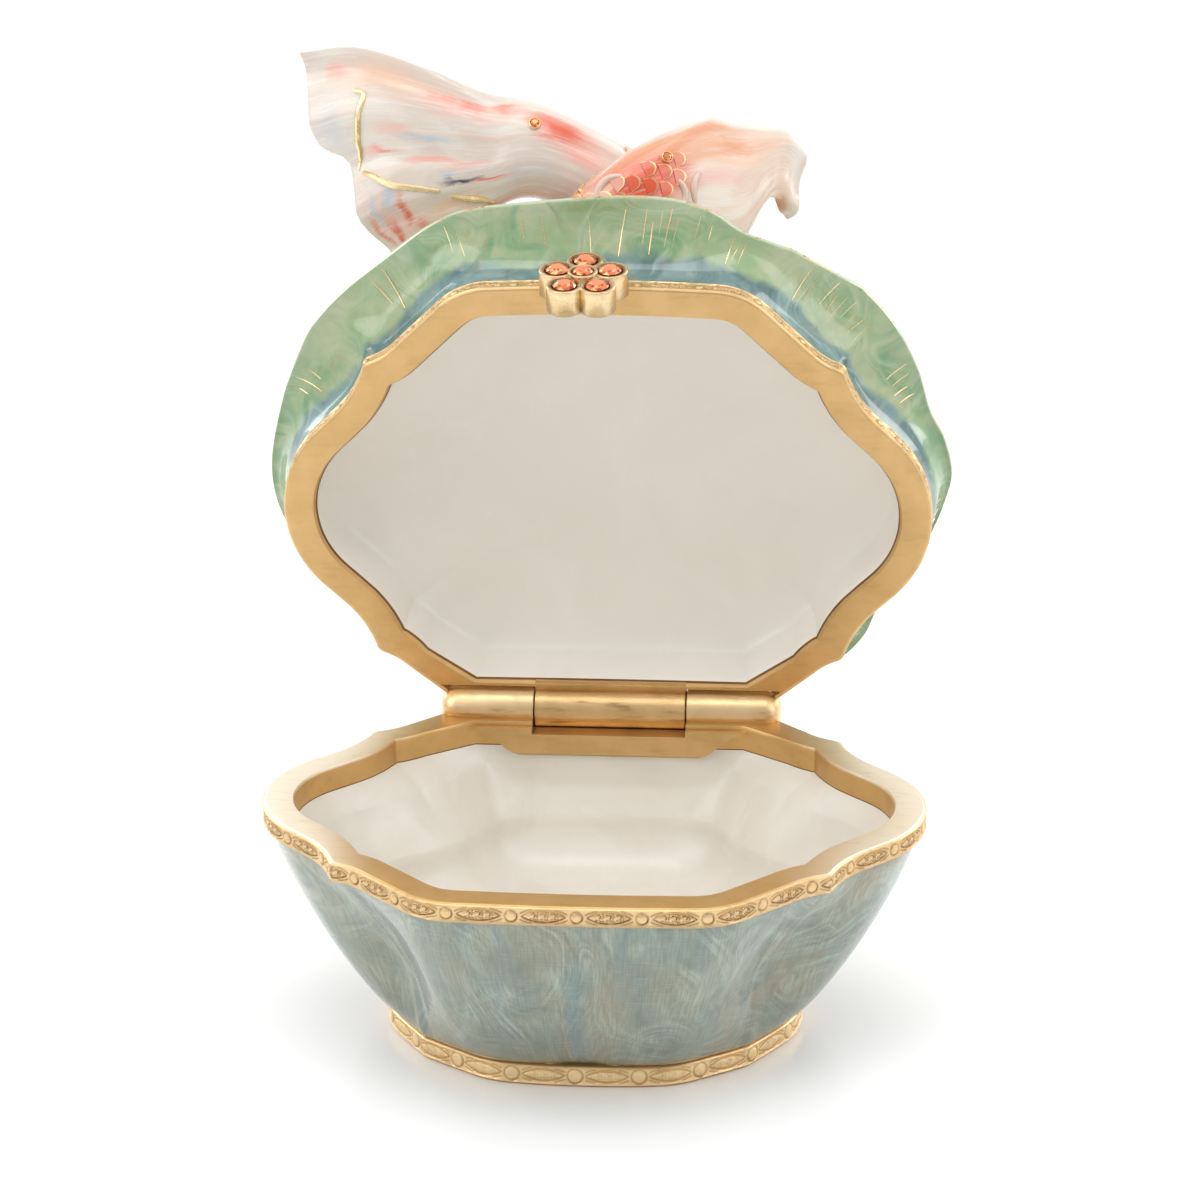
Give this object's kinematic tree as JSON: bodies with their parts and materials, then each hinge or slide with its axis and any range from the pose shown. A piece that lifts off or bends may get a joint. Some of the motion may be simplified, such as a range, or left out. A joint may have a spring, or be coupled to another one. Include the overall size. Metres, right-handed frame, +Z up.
{
  "type": "hinged trinket box",
  "caption": "Small enamelled metal trinket box standing open: lily-pad lid with two swimming koi, notched bowl with gold bands, and a crystal flower catch",
  "frame": {"origin": "middle of the foot's flat underside, where the box stands", "axes": "+X to the right of someone facing the flower catch, +Y towards the hinge, +Z up"},
  "size_m": [0.0744, 0.0702, 0.097],
  "materials": {
    "base_enamel": "gloss",
    "lid_enamel": "gloss",
    "gold_plate": "satin",
    "koi_white_enamel": "gloss",
    "koi_orange_enamel": "gloss",
    "orange_crystal": "clear"
  },
  "bodies": {
    "base": {"base_bowl": "base_enamel", "hinge_pin": "gold_plate"},
    "lid": {"lid": "lid_enamel", "koi_white": "koi_white_enamel", "koi_orange": "koi_orange_enamel", "thumb_flower": "gold_plate", "crystal_1": "orange_crystal", "crystal_2": "orange_crystal", "crystal_3": "orange_crystal", "crystal_4": "orange_crystal", "crystal_5": "orange_crystal", "crystal_6": "orange_crystal"}
  },
  "joints": [
    {"name": "lid_hinge", "type": "hinge", "parent": "base", "child": "lid", "pos_m": [0, 0.0247, 0.0253], "axis": [1, 0, 0], "range_deg": [0, 80]}
  ]
}
